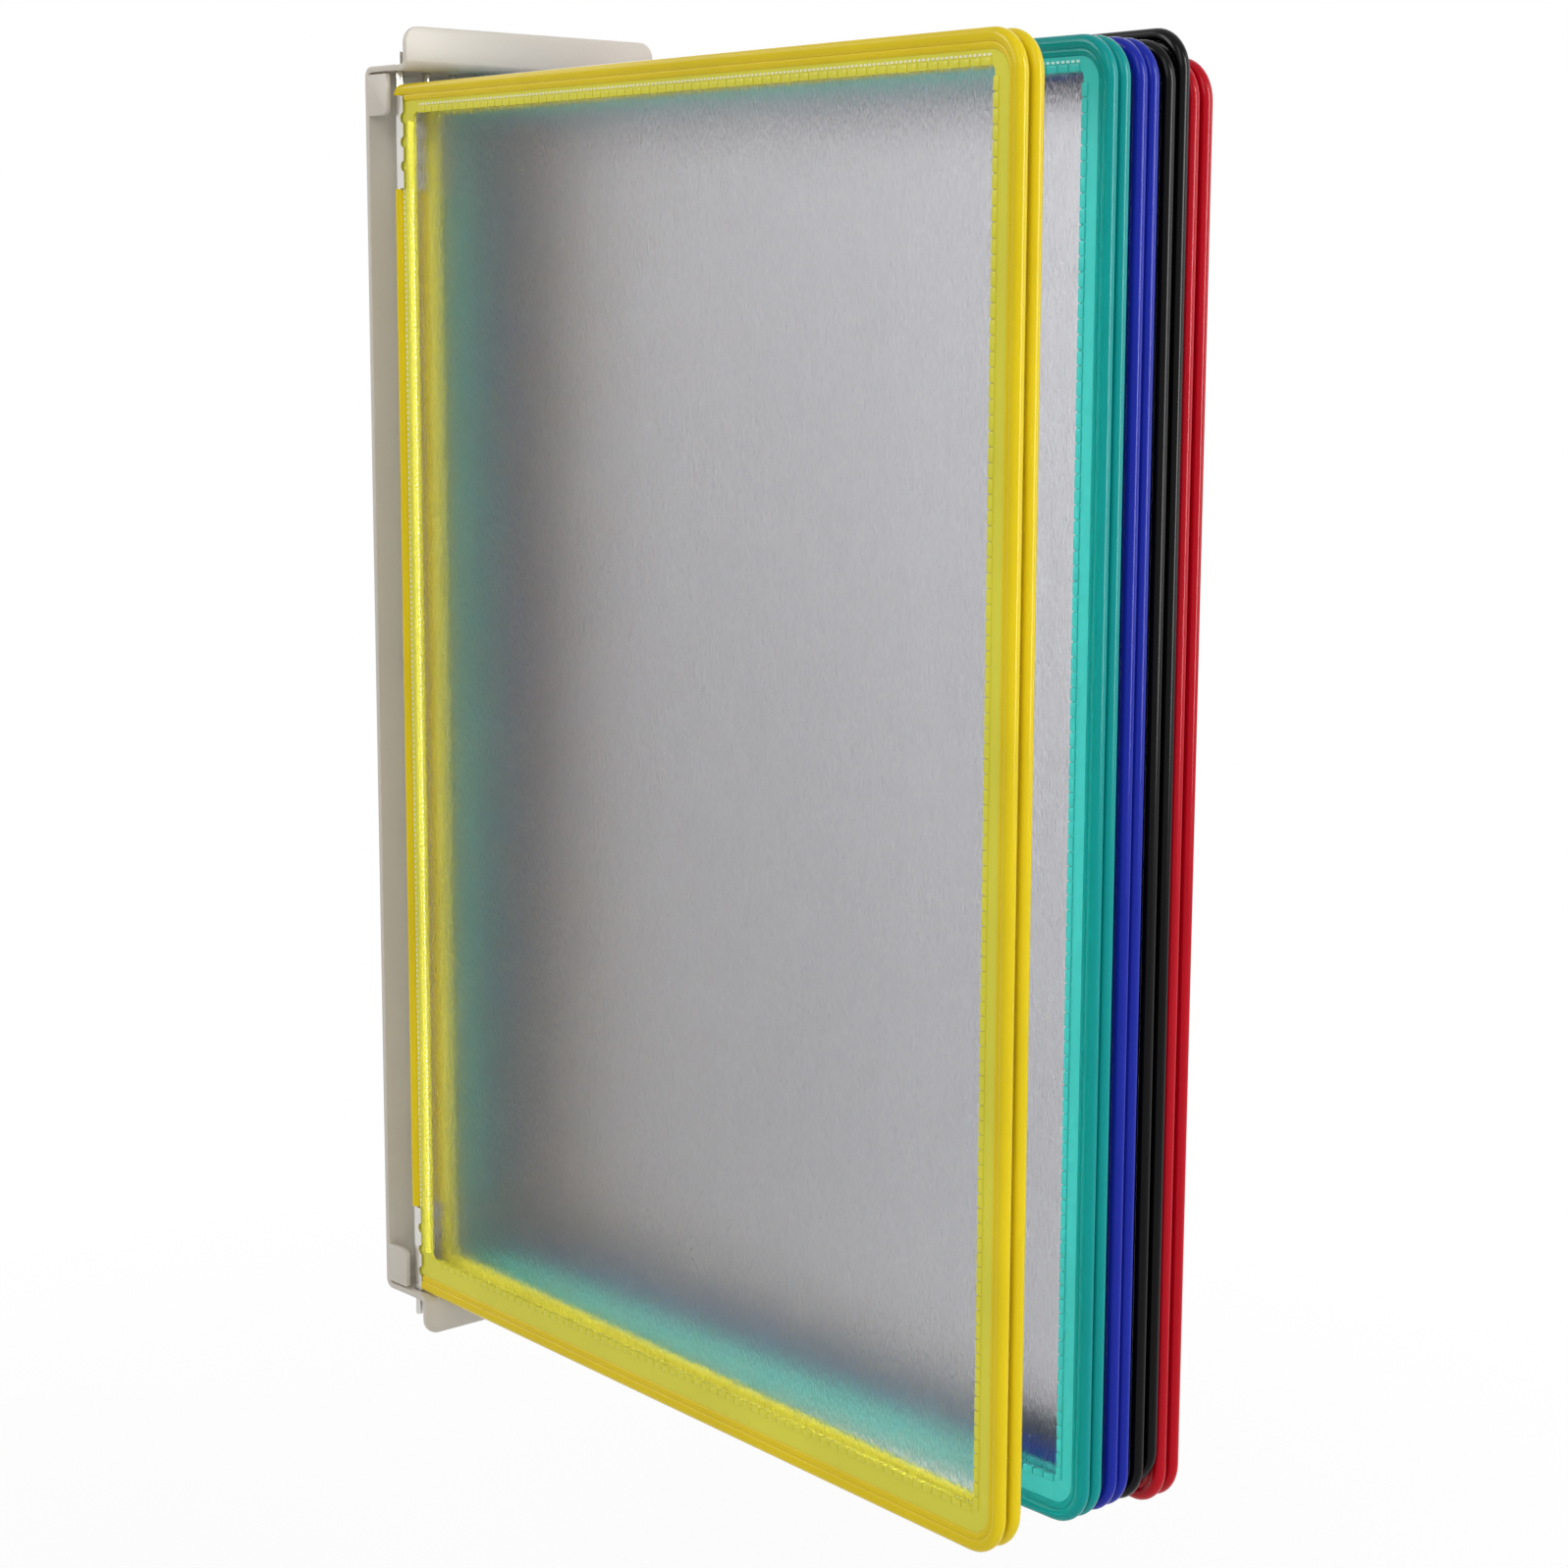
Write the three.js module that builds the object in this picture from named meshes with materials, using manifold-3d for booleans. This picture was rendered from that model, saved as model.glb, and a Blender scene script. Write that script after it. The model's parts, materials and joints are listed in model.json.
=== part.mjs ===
// A wall bracket that holds on by magnets, with ten clear document pockets that swing on pins.
// Millimetres, +Z up. The wall is the plane y = 0, and the pockets stand out along -Y.
import * as THREE from 'three';
import { mergeVertices } from 'three/addons/utils/BufferGeometryUtils.js';
import Module from 'manifold-3d';

const wasm = await Module();
wasm.setup();

// Pocket frame
const leafHeight = 318;
const leafReach = 231;
const freeCorner = 9.5;
const hingeCorner = 4;
const windowCorner = 1.5;
const beadDiameter = 3.2;
const ridgeReach = 1.3;
const ridgeThickness = 2.2;
const hingeBand = 3.7;
const freeBand = 5.4;
const topBand = 4;
const bottomBand = 6.7;
const bandThickness = 1;
const wireDiameter = 2.1;
const wireClearance = 0.15;

// Clear pocket of two films, open at the hinge side
const filmThickness = 0.25;
const pocketGap = 0.3;
const pocketSeam = 3;
const filmClearance = 0.2;

// Hinge clips
const clipHeight = 23;
const clipSheet = 0.5;
const clipReach = 3;
const clipDrop = 3;
const notchRadius = 1.3;
const notchPitch = 6;
const notchCount = 3;

// Pins and their places
const pinPitch = 8.2;
const pinMargin = 3.1;
const pinSetback = 11.2;
const pinAbove = 3.4;
const pinBelow = 5.5;
const pinClearance = 0.1;
const restPlay = 0.3;
const liftPlay = 3.2;

// Folded bracket
const sheet = 1.5;
const bendRadius = 1;
const bracketDepth = 18.5;
const lipHeight = 9.25;
const lipCorner = 4;
const tabHeight = 10.4;
const tabDepth = 9.4;
const tabGap = 0.5;
const tabCorner = 2;

// Magnets on the back
const magnetWidth = 60;
const magnetHeight = 40;
const magnetThickness = 5;
const magnetInset = 20.75;
const magnetChamfer = 0.6;
const glueLine = 0.2;

// The pockets from left to right. A pocket's gap is the room that its free edge keeps to the one
// before it, its lift is how far it has ridden up on its pins, and its sag is how far its free edge
// stands above its hinge side.
const firstLeafAngle = -2.8;
const openGap = 18;
const wideGap = 2;
const middleGap = 1.4;
const narrowGap = 0.6;
const riddenUp = 2.6;
const drooping = -3;
const yellow = 0xd8c41e;
const green = 0x0d9a90;
const blue = 0x2133a8;
const black = 0x17171a;
const red = 0xb80f22;
const leaves = [
  { name: 'yellow_1', colour: yellow, gap: 0, lift: 0, sag: 0 },
  { name: 'yellow_2', colour: yellow, gap: middleGap, lift: 0, sag: 0 },
  { name: 'green_1', colour: green, gap: openGap, lift: 0, sag: 0 },
  { name: 'green_2', colour: green, gap: narrowGap, lift: 0, sag: 0 },
  { name: 'blue_1', colour: blue, gap: wideGap, lift: 0, sag: 0 },
  { name: 'blue_2', colour: blue, gap: narrowGap, lift: 0, sag: 0 },
  { name: 'black_1', colour: black, gap: wideGap, lift: 0, sag: 0 },
  { name: 'black_2', colour: black, gap: middleGap, lift: riddenUp, sag: 0 },
  { name: 'red_1', colour: red, gap: narrowGap, lift: 0, sag: drooping },
  { name: 'red_2', colour: red, gap: middleGap, lift: 0, sag: drooping },
];

const beadSides = 8;
const wireSides = 6;
const notchSides = 6;
const cornerSteps = 4;
const roundSteps = 8;

const bracketWidth = (leaves.length - 1) * pinPitch + 2 * pinMargin;
const insideHeight = leafHeight + restPlay + liftPlay;
const bottomInside = -insideHeight / 2;
const topInside = insideHeight / 2;
const plateBack = -(magnetThickness + glueLine);
const pinY = plateBack - pinSetback;
const leafBottom = bottomInside + restPlay;
const leafTop = leafBottom + leafHeight;
const leafMiddle = (leafBottom + leafTop) / 2;
const beadRadius = beadDiameter / 2;
const wireRadius = wireDiameter / 2;
const channelRadius = wireRadius + wireClearance;
const clipInside = wireRadius + wireClearance;
const clipOutside = clipInside + clipSheet;
const clipTopZ = leafTop - clipDrop;
const clipBottomZ = leafBottom;

// Turns a closed three.js geometry into a solid that can be joined and cut
function solid(geometry) {
  const bare = geometry.clone();
  bare.deleteAttribute('normal');
  bare.deleteAttribute('uv');
  const merged = mergeVertices(bare, 1e-5);
  return new wasm.Manifold(new wasm.Mesh({
    numProp: 3,
    vertProperties: new Float32Array(merged.attributes.position.array),
    triVerts: new Uint32Array(merged.index.array),
  }));
}

// Turns a solid back into a geometry
function geometryOf(body) {
  const mesh = body.getMesh();
  const geometry = new THREE.BufferGeometry();
  geometry.setAttribute('position', new THREE.BufferAttribute(mesh.vertProperties, 3));
  geometry.setIndex(new THREE.BufferAttribute(mesh.triVerts, 1));
  geometry.computeVertexNormals();
  return geometry;
}

// A box between two corners
function block(low, high) {
  const size = new THREE.Vector3().subVectors(high, low);
  const centre = new THREE.Vector3().addVectors(low, high).multiplyScalar(0.5);
  return new THREE.BoxGeometry(size.x, size.y, size.z).translate(centre.x, centre.y, centre.z);
}

// A regular outline whose flats lie at the given radius
function roundShape(radius, sides) {
  const shape = new THREE.Shape();
  const corner = radius / Math.cos(Math.PI / sides);
  for (let i = 0; i < sides; i++) {
    const angle = (i + 0.5) * 2 * Math.PI / sides;
    const x = corner * Math.cos(angle);
    const y = corner * Math.sin(angle);
    if (i === 0) shape.moveTo(x, y);
    else shape.lineTo(x, y);
  }
  shape.closePath();
  return shape;
}

// An upright prism with a regular outline, from one height to another
function upright(radius, sides, low, high) {
  const geometry = new THREE.ExtrudeGeometry(roundShape(radius, sides), {
    depth: high - low,
    bevelEnabled: false,
  });
  return geometry.translate(0, 0, low);
}

// A path of straight runs and round corners in the pocket's own plane, x out and z up
class CorneredPath extends THREE.Curve {
  constructor(corners, steps) {
    super();
    this.stations = [];
    corners.forEach((corner, i) => {
      const point = new THREE.Vector3(corner.x, 0, corner.z);
      const before = corners[i - 1];
      const after = corners[i + 1];
      const arriving = before
        ? point.clone().sub(new THREE.Vector3(before.x, 0, before.z)).normalize() : null;
      const leaving = after
        ? new THREE.Vector3(after.x, 0, after.z).sub(point).normalize() : null;
      if (!arriving || !leaving) {
        this.stations.push({ point, tangent: arriving || leaving });
        return;
      }
      const centre = point.clone()
        .addScaledVector(arriving, -corner.radius)
        .addScaledVector(leaving, corner.radius);
      for (let step = 0; step <= steps; step++) {
        const turn = step / steps * Math.PI / 2;
        const place = centre.clone()
          .addScaledVector(leaving, -corner.radius * Math.cos(turn))
          .addScaledVector(arriving, corner.radius * Math.sin(turn));
        const tangent = arriving.clone().multiplyScalar(Math.cos(turn))
          .addScaledVector(leaving, Math.sin(turn));
        this.stations.push({ point: place, tangent });
      }
    });
  }

  at(t) {
    return this.stations[Math.round(t * (this.stations.length - 1))];
  }

  getPoint(t) {
    return this.at(t).point.clone();
  }

  getPointAt(t) {
    return this.getPoint(t);
  }

  getTangentAt(t) {
    return this.at(t).tangent.clone();
  }
}

// A regular section carried along a path
function sweep(path, radius, sides) {
  return new THREE.ExtrudeGeometry(roundShape(radius, sides), {
    steps: path.stations.length - 1,
    extrudePath: path,
  });
}

// Half of the bead's loop: side 1 is the upper half and side -1 the lower one
function halfLoop(side) {
  const level = side > 0 ? leafTop - beadRadius : leafBottom + beadRadius;
  const free = leafReach - beadRadius;
  return new CorneredPath([
    { x: 0, z: leafMiddle },
    { x: 0, z: level, radius: hingeCorner - beadRadius },
    { x: free, z: level, radius: freeCorner - beadRadius },
    { x: free, z: leafMiddle },
  ], cornerSteps);
}

// The straight line of the hinge, between two heights
function hingeLine(low, high) {
  return new CorneredPath([{ x: 0, z: low }, { x: 0, z: high }], cornerSteps);
}

// The same inset on all four sides of a pocket
function even(inset) {
  return { hinge: inset, free: inset, top: inset, bottom: inset };
}

// The insets of the window's sides, with some room more
function windowInsets(room) {
  return {
    hinge: beadDiameter + hingeBand + room,
    free: beadDiameter + freeBand + room,
    top: beadDiameter + topBand + room,
    bottom: beadDiameter + bottomBand + room,
  };
}

// A flat rectangle in the pocket's plane, with round corners at its free side
function panelOutline(Kind, insets, radius) {
  const left = insets.hinge;
  const right = leafReach - insets.free;
  const low = leafBottom + insets.bottom;
  const high = leafTop - insets.top;
  const outline = new Kind();
  outline.moveTo(left, low);
  outline.lineTo(right - radius, low);
  outline.absarc(right - radius, low + radius, radius, -Math.PI / 2, 0, false);
  outline.lineTo(right, high - radius);
  outline.absarc(right - radius, high - radius, radius, 0, Math.PI / 2, false);
  outline.lineTo(left, high);
  outline.closePath();
  return outline;
}

// A flat plate from an outline in the pocket's plane, centred on that plane
function plate(shape, thickness) {
  const geometry = new THREE.ExtrudeGeometry(shape, {
    depth: thickness,
    bevelEnabled: false,
    curveSegments: cornerSteps,
  });
  return geometry.translate(0, 0, -thickness / 2).rotateX(Math.PI / 2);
}

// The frame wire: a straight hinge rod, whose ends are the pins, welded to a bent U
function wireGeometry() {
  const low = leafBottom + beadRadius;
  const high = leafTop - beadRadius;
  const free = leafReach - beadRadius;
  const bend = freeCorner - beadRadius;
  const foot = hingeCorner - beadRadius;
  const path = new CorneredPath([
    { x: 0, z: high - 2 * foot },
    { x: 0, z: high, radius: foot },
    { x: free, z: high, radius: bend },
    { x: free, z: low, radius: bend },
    { x: 0, z: low, radius: foot },
    { x: 0, z: low + 2 * foot },
  ], cornerSteps);
  const flat = wireRadius * Math.cos(Math.PI / wireSides);
  const rodLow = bottomInside - sheet - pinBelow;
  const rodHigh = topInside + sheet + pinAbove;
  const rod = solid(sweep(hingeLine(rodLow, rodHigh), flat, wireSides));
  return geometryOf(rod.add(solid(sweep(path, flat, wireSides))));
}

// The coloured edging: a round bead over the wire, a lower ridge beside it on the three sides away
// from the hinge, and a flat band round the window
function edgingGeometry() {
  const bandOutline = panelOutline(THREE.Shape, even(beadRadius), freeCorner - beadRadius);
  bandOutline.holes.push(panelOutline(THREE.Path, windowInsets(0), windowCorner));
  let body = solid(plate(bandOutline, bandThickness));
  const ridgeOuter = panelOutline(THREE.Shape, even(beadRadius), freeCorner - beadRadius);
  const inset = beadDiameter + ridgeReach;
  const ridgeInner = panelOutline(THREE.Shape, { ...even(inset), hinge: 0 }, freeCorner - inset);
  const ridge = solid(plate(ridgeOuter, ridgeThickness));
  body = body.add(ridge.subtract(solid(plate(ridgeInner, 2 * ridgeThickness))));
  for (const side of [1, -1]) body = body.add(solid(sweep(halfLoop(side), beadRadius, beadSides)));
  for (const side of [1, -1]) {
    body = body.subtract(solid(sweep(halfLoop(side), channelRadius, wireSides)));
  }
  const past = beadDiameter;
  const exits = solid(sweep(hingeLine(leafBottom - past, leafTop + past), channelRadius, wireSides));
  body = body.subtract(exits);
  const edge = clipReach + wireClearance;
  const upperLow = clipTopZ - clipHeight - wireClearance;
  const upperHigh = clipTopZ + wireClearance;
  const lowerHigh = clipBottomZ + clipHeight + wireClearance;
  for (const [low, high] of [[upperLow, upperHigh], [clipBottomZ - past, lowerHigh]]) {
    for (const side of [1, -1]) {
      const inner = side * bandThickness / 2;
      const outer = side * (clipOutside + wireClearance);
      body = body.subtract(solid(block(
        new THREE.Vector3(-past, Math.min(inner, outer), low),
        new THREE.Vector3(edge, Math.max(inner, outer), high),
      )));
    }
    body = body.subtract(solid(block(
      new THREE.Vector3(-past, -bandThickness, low),
      new THREE.Vector3(clipInside, bandThickness, high),
    )));
  }
  return geometryOf(body);
}

// The clear pocket: two films welded along the top, free and bottom sides
function sleeveGeometry() {
  const insets = windowInsets(filmClearance);
  const outline = panelOutline(THREE.Shape, insets, windowCorner);
  const films = solid(plate(outline, 2 * filmThickness + pocketGap));
  const low = leafBottom + insets.bottom + pocketSeam;
  const high = leafTop - insets.top - pocketSeam;
  const slot = block(
    new THREE.Vector3(insets.hinge - pocketSeam, -pocketGap / 2, low),
    new THREE.Vector3(leafReach - insets.free - pocketSeam, pocketGap / 2, high),
  );
  return geometryOf(films.subtract(solid(slot)));
}

// A sheet-steel clip folded round the hinge rod, with half-round notches in its free edges
function clipGeometry() {
  const steps = 3;
  const outline = new THREE.Shape();
  outline.moveTo(clipReach, -clipOutside);
  outline.lineTo(clipReach, -clipInside);
  for (let i = 0; i <= steps; i++) {
    const angle = -Math.PI / 2 - i / steps * Math.PI;
    const wide = clipInside / Math.cos(Math.PI / steps / 2);
    outline.lineTo(wide * Math.cos(angle), clipInside * Math.sin(angle));
  }
  outline.lineTo(clipReach, clipInside);
  outline.lineTo(clipReach, clipOutside);
  for (let i = 0; i <= steps; i++) {
    const angle = Math.PI / 2 + i / steps * Math.PI;
    outline.lineTo(clipOutside * Math.cos(angle), clipOutside * Math.sin(angle));
  }
  outline.closePath();
  let body = solid(new THREE.ExtrudeGeometry(outline, { depth: clipHeight, bevelEnabled: false }));
  const notch = new THREE.CylinderGeometry(notchRadius, notchRadius, 4 * clipOutside, notchSides);
  for (let i = 0; i < notchCount; i++) {
    const level = clipHeight / 2 + (i - (notchCount - 1) / 2) * notchPitch;
    body = body.subtract(solid(notch.clone().translate(clipReach, 0, level)));
  }
  return geometryOf(body);
}

// One folded sheet: back plate, two flanges with pin holes, two lips and four side tabs
function bracketGeometry() {
  const outer = bendRadius + sheet;
  const back = plateBack;
  const front = plateBack - bracketDepth;
  const half = topInside + sheet;
  const lip = half + lipHeight;
  const section = new THREE.Shape();
  section.moveTo(back, 0);
  section.lineTo(back, half - outer);
  section.absarc(back - outer, half - outer, outer, 0, Math.PI / 2, false);
  section.lineTo(front + outer, half);
  section.absarc(front + outer, half + bendRadius, bendRadius, -Math.PI / 2, -Math.PI, true);
  section.lineTo(front + sheet, lip);
  section.lineTo(front, lip);
  section.lineTo(front, half - sheet + outer);
  section.absarc(front + outer, half - sheet + outer, outer, Math.PI, 1.5 * Math.PI, false);
  section.lineTo(back - outer, half - sheet);
  section.absarc(back - outer, half - outer, bendRadius, Math.PI / 2, 0, true);
  section.lineTo(back - sheet, 0);
  section.closePath();
  const across = new THREE.ExtrudeGeometry(section, {
    depth: bracketWidth,
    bevelEnabled: false,
    curveSegments: cornerSteps,
  });
  across.translate(0, 0, -bracketWidth / 2);
  across.applyMatrix4(new THREE.Matrix4().set(
    0, 0, 1, 0,
    1, 0, 0, 0,
    0, 1, 0, 0,
    0, 0, 0, 1,
  ));
  const upper = solid(across);
  let body = upper.add(upper.mirror([0, 0, 1]));

  const wide = bracketWidth / 2;
  const face = new THREE.Shape();
  face.moveTo(-wide, -lip + lipCorner);
  face.absarc(-wide + lipCorner, -lip + lipCorner, lipCorner, Math.PI, 1.5 * Math.PI, false);
  face.absarc(wide - lipCorner, -lip + lipCorner, lipCorner, 1.5 * Math.PI, 2 * Math.PI, false);
  face.absarc(wide - lipCorner, lip - lipCorner, lipCorner, 0, 0.5 * Math.PI, false);
  face.absarc(-wide + lipCorner, lip - lipCorner, lipCorner, 0.5 * Math.PI, Math.PI, false);
  face.closePath();
  const cookie = new THREE.ExtrudeGeometry(face, {
    depth: 2 * bracketDepth,
    bevelEnabled: false,
    curveSegments: 2 * cornerSteps,
  });
  cookie.rotateX(Math.PI / 2).translate(0, back + bracketDepth / 2, 0);
  body = body.intersect(solid(cookie));

  for (const side of [1, -1]) {
    for (const end of [1, -1]) body = body.add(sideTab(side, end));
  }
  const hole = upright(wireRadius + pinClearance, roundSteps, -lip, lip);
  leaves.forEach((leaf, i) => {
    body = body.subtract(solid(hole.clone().translate(pinX(i), pinY, 0)));
  });
  return geometryOf(body);
}

// A small tab folded forward from the back plate's side edge, just inside a flange
function sideTab(side, end) {
  const near = topInside - tabGap;
  const far = near - tabHeight;
  const tip = -tabDepth;
  const outline = new THREE.Shape();
  outline.moveTo(0, near);
  outline.lineTo(0, far);
  outline.lineTo(tip + tabCorner, far);
  outline.absarc(tip + tabCorner, far + tabCorner, tabCorner, 1.5 * Math.PI, Math.PI, true);
  outline.lineTo(tip, near);
  outline.closePath();
  const tab = new THREE.ExtrudeGeometry(outline, {
    depth: sheet,
    bevelEnabled: false,
    curveSegments: cornerSteps,
  });
  tab.applyMatrix4(new THREE.Matrix4().set(
    0, 0, 1, 0,
    1, 0, 0, 0,
    0, 1, 0, 0,
    0, 0, 0, 1,
  ));
  const place = side > 0 ? bracketWidth / 2 - sheet : -bracketWidth / 2;
  const body = solid(tab.translate(place, plateBack, 0));
  return end > 0 ? body : body.mirror([0, 0, 1]);
}

function pinX(i) {
  return (i - (leaves.length - 1) / 2) * pinPitch;
}

// A block magnet with its edges broken
function magnetGeometry() {
  const wide = magnetWidth / 2 - magnetChamfer;
  const tall = magnetHeight / 2 - magnetChamfer;
  const outline = new THREE.Shape();
  outline.moveTo(-wide, -tall);
  outline.lineTo(wide, -tall);
  outline.lineTo(wide, tall);
  outline.lineTo(-wide, tall);
  outline.closePath();
  const geometry = new THREE.ExtrudeGeometry(outline, {
    depth: magnetThickness - 2 * magnetChamfer,
    bevelThickness: magnetChamfer,
    bevelSize: magnetChamfer,
    bevelSegments: 1,
  });
  return geometryOf(solid(geometry.translate(0, 0, magnetChamfer).rotateX(Math.PI / 2)));
}

// A pocket's piece with its free edge raised or lowered by the sag
function sagged(geometry, leaf) {
  return geometry.clone().applyMatrix4(new THREE.Matrix4().makeShear(0, leaf.sag / leafReach, 0, 0, 0, 0));
}

// The angle of each pocket, in degrees from straight out, from the gaps at the free edges
function restAngles() {
  const angles = [];
  let edge = 0;
  leaves.forEach((leaf, i) => {
    if (i === 0) edge = pinX(0) + leafReach * Math.sin(THREE.MathUtils.degToRad(firstLeafAngle));
    else edge += beadDiameter + leaf.gap;
    angles.push(Math.asin((edge - pinX(i)) / leafReach));
  });
  return angles;
}

const paint = new THREE.MeshStandardMaterial({ color: 0xcfc7b8, roughness: 0.5, metalness: 0 });
const ferrite = new THREE.MeshStandardMaterial({ color: 0x2b2b2d, roughness: 0.7, metalness: 0.1 });
const nickel = { color: 0xb9b7b0, roughness: 0.25, metalness: 1 };
const clear = { color: 0xdcdce4, roughness: 0.3, metalness: 0, transparent: true, opacity: 0.35 };

function named(name, geometry, material) {
  const mesh = new THREE.Mesh(geometry, material);
  mesh.name = name;
  return mesh;
}

const holder = new THREE.Group();
holder.add(named('bracket', bracketGeometry(), paint));

const magnetShape = magnetGeometry();
const magnetSpacing = topInside - magnetInset - magnetHeight / 2;
for (const [name, level] of [['magnet_top', 1], ['magnet_middle', 0], ['magnet_bottom', -1]]) {
  const magnet = named(name, magnetShape.clone(), ferrite.clone());
  magnet.position.set(0, 0, level * magnetSpacing);
  holder.add(magnet);
}

const wireShape = wireGeometry();
const edgingShape = edgingGeometry();
const sleeveShape = sleeveGeometry();
const clipShape = clipGeometry();
const angles = restAngles();
leaves.forEach((leaf, i) => {
  const swing = new THREE.Group();
  swing.position.set(pinX(i), pinY, leaf.lift);
  swing.rotation.z = angles[i] - Math.PI / 2;
  const vinyl = { color: leaf.colour, roughness: 0.3, metalness: 0 };
  const metal = () => new THREE.MeshStandardMaterial(nickel);
  const coloured = new THREE.MeshStandardMaterial(vinyl);
  const film = new THREE.MeshStandardMaterial(clear);
  swing.add(named(`${leaf.name}_wire`, sagged(wireShape, leaf), metal()));
  swing.add(named(`${leaf.name}_edging`, sagged(edgingShape, leaf), coloured));
  swing.add(named(`${leaf.name}_sleeve`, sagged(sleeveShape, leaf), film));
  const upper = named(`${leaf.name}_clip_top`, clipShape.clone(), metal());
  upper.position.z = clipTopZ - clipHeight;
  swing.add(upper);
  const lower = named(`${leaf.name}_clip_bottom`, clipShape.clone(), metal());
  lower.position.z = clipBottomZ;
  swing.add(lower);
  holder.add(swing);
});

export default holder;
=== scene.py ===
import json
import math

import bmesh
import bpy
from mathutils import Matrix, Vector


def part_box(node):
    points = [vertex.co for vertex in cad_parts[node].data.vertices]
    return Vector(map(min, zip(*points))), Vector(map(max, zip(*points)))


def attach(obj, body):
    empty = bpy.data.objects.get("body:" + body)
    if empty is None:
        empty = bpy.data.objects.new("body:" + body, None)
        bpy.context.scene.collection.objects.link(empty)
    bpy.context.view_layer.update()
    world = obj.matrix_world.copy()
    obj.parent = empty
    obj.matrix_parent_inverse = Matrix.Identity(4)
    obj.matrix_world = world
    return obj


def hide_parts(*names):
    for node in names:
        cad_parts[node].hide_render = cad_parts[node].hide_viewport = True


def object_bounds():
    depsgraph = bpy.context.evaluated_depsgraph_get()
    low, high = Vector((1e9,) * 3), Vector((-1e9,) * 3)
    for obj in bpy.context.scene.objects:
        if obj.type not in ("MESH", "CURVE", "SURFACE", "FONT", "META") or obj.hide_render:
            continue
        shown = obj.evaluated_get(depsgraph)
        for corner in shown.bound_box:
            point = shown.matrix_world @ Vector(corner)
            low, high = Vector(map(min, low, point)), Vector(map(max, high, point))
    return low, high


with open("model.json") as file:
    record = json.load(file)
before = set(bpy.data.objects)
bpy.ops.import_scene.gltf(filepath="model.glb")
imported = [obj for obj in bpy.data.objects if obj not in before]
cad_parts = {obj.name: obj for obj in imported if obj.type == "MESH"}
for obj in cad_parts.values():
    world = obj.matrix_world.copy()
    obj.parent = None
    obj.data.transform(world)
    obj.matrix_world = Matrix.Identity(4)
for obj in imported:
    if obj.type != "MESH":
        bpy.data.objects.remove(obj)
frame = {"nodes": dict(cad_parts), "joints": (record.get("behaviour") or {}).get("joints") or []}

cad_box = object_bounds()


# Camera: a short telephoto from the front left, a little above the middle, as in the photograph.
CAMERA_PLACE = Vector((-0.4861, -0.6675, 0.1046))
CAMERA_AZIMUTH = math.radians(-41.73)
CAMERA_ELEVATION = math.radians(9.17)
CAMERA_ROLL = math.radians(0.2)
FOCAL_PIXELS = 3073.6
IMAGE_PIXELS = 1597
SENSOR = 36.0
CLOSEST = 0.05

camera_data = bpy.data.cameras.new("camera")
camera_data.sensor_width = SENSOR
camera_data.lens = FOCAL_PIXELS / IMAGE_PIXELS * SENSOR
camera_data.clip_start = CLOSEST
camera = bpy.data.objects.new("camera", camera_data)
bpy.context.collection.objects.link(camera)
back = Vector((math.sin(CAMERA_AZIMUTH) * math.cos(CAMERA_ELEVATION),
               -math.cos(CAMERA_AZIMUTH) * math.cos(CAMERA_ELEVATION),
               math.sin(CAMERA_ELEVATION)))
right = Vector((math.cos(CAMERA_AZIMUTH), math.sin(CAMERA_AZIMUTH), 0))
up = back.cross(right)
turn = Matrix((right, up, back)).transposed() @ Matrix.Rotation(CAMERA_ROLL, 3, "Z")
camera.matrix_world = Matrix.Translation(CAMERA_PLACE) @ turn.to_4x4()
bpy.context.scene.camera = camera


# Wall bracket: one sheet of mild steel, punched and folded, then powder coated in a warm grey-beige.
# The back plate carries two flanges with the pin holes; the flanges end in upright lips, and four
# small tabs stiffen the corners.
class Signal:
    """A shader value: Python's operators on it add Math nodes."""

    def __init__(self, owner, socket):
        self.owner = owner
        self.socket = socket

    def maths(self, operation, *others):
        values = {i + 1: other for i, other in enumerate(others)}
        return self.owner.node("ShaderNodeMath", {"operation": operation}, {0: self, **values})

    def __add__(self, other):
        return self.maths("ADD", other)

    __radd__ = __add__

    def __mul__(self, other):
        return self.maths("MULTIPLY", other)

    __rmul__ = __mul__

    def __sub__(self, other):
        return self.maths("SUBTRACT", other)

    def __rsub__(self, other):
        return (self * -1).maths("ADD", other)

    def clamp(self):
        return self.maths("MAXIMUM", 0).maths("MINIMUM", 1)


class NodeTree:
    """A tree of shader nodes, and the one method that adds a node to it."""

    def __init__(self, tree):
        self.tree = tree

    def node(self, kind, settings=None, values=None, output=0):
        made = self.tree.nodes.new(kind)
        for key, value in (settings or {}).items():
            setattr(made, key, value)
        for key, value in (values or {}).items():
            if isinstance(value, Signal):
                self.tree.links.new(value.socket, made.inputs[key])
            else:
                made.inputs[key].default_value = value
        return Signal(self, made.outputs[output])


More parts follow.
